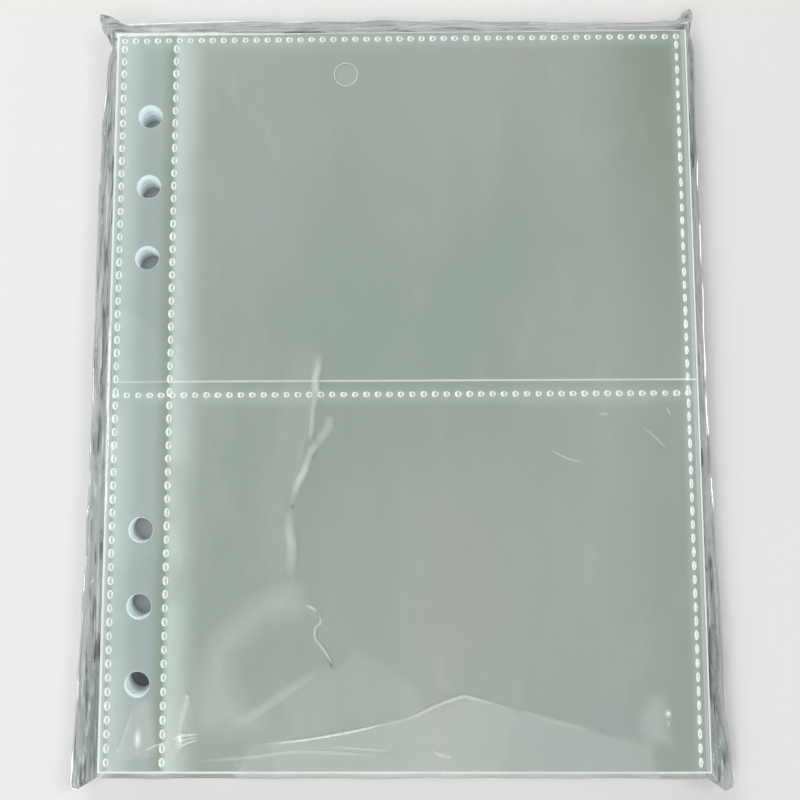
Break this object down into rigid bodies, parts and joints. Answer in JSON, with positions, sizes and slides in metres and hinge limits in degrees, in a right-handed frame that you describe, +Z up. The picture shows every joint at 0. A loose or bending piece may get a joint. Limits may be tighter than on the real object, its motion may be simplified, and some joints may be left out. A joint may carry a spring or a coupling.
{
  "type": "pack of binder pocket pages",
  "caption": "Stack of frosted pocket refill pages for an A5 ring binder, lying flat in a clear film bag with a resealable flap.",
  "frame": {"origin": "on the surface that the pack lies on, under the middle of the bag's outline", "axes": "+Z up through the front of the pack, +Y towards the closed end of the bag, ring holes on the -X side"},
  "size_m": [0.1658, 0.204, 0.0105],
  "materials": {
    "frosted_page_film": "finely frosted polypropylene film, milky where many lie on each other",
    "clear_bag_film": "thin glossy clear film with soft creases",
    "clear_adhesive": "clear pressure-sensitive tape"
  },
  "bodies": {
    "bag": {"bag_front_panel": "clear_bag_film", "bag_front_left_side": "clear_bag_film", "bag_front_right_side": "clear_bag_film", "bag_front_bottom_end": "clear_bag_film", "bag_back_panel": "clear_bag_film", "bag_back_left_side": "clear_bag_film", "bag_back_right_side": "clear_bag_film", "bag_back_bottom_end": "clear_bag_film", "left_side_weld": "clear_bag_film", "right_side_weld": "clear_bag_film", "bottom_fold": "clear_bag_film"},
    "mouth_panel": {"mouth_panel": "clear_bag_film"},
    "seal_flap": {"seal_flap": "clear_bag_film", "adhesive_strip": "clear_adhesive"},
    "pages": {"page_02": "frosted_page_film", "page_03": "frosted_page_film", "page_04": "frosted_page_film", "page_05": "frosted_page_film", "page_06": "frosted_page_film", "page_07": "frosted_page_film", "page_08": "frosted_page_film", "page_09": "frosted_page_film", "page_10": "frosted_page_film", "page_11": "frosted_page_film", "page_12": "frosted_page_film", "page_13": "frosted_page_film", "page_14": "frosted_page_film", "page_15": "frosted_page_film", "page_16": "frosted_page_film", "page_17": "frosted_page_film", "page_18": "frosted_page_film", "page_19": "frosted_page_film", "page_20": "frosted_page_film", "page_21": "frosted_page_film", "page_22": "frosted_page_film", "page_23": "frosted_page_film", "page_24": "frosted_page_film", "page_25": "frosted_page_film"},
    "top_page": {"page_01_back_film": "frosted_page_film", "page_01_upper_pocket_film": "frosted_page_film", "page_01_lower_pocket_film": "frosted_page_film"}
  },
  "joints": [
    {"name": "pages_slide", "type": "slide", "parent": "bag", "child": "pages", "axis": [0, -1, 0], "range_m": [0, 0.19], "deforming": ["mouth_panel", "seal_flap", "adhesive_strip"]},
    {"name": "top_page_slide", "type": "slide", "parent": "pages", "child": "top_page", "axis": [0, -1, 0], "range_m": [0, 0.038]},
    {"name": "mouth_fold", "type": "hinge", "parent": "bag", "child": "mouth_panel", "pos_m": [0, -0.09755, 0.01036], "axis": [-1, 0, 0], "range_deg": [0, 90]},
    {"name": "flap_fold", "type": "hinge", "parent": "mouth_panel", "child": "seal_flap", "pos_m": [0, -0.09755, 0.00005], "axis": [-1, 0, 0], "range_deg": [0, 90]}
  ],
  "couplings": [
    {"joint": "top_page_slide", "follows": "pages_slide", "ratio": 0.2},
    {"joint": "mouth_fold", "follows": "pages_slide", "rad_per_m": 8.26},
    {"joint": "flap_fold", "follows": "pages_slide", "rad_per_m": 8.26}
  ]
}
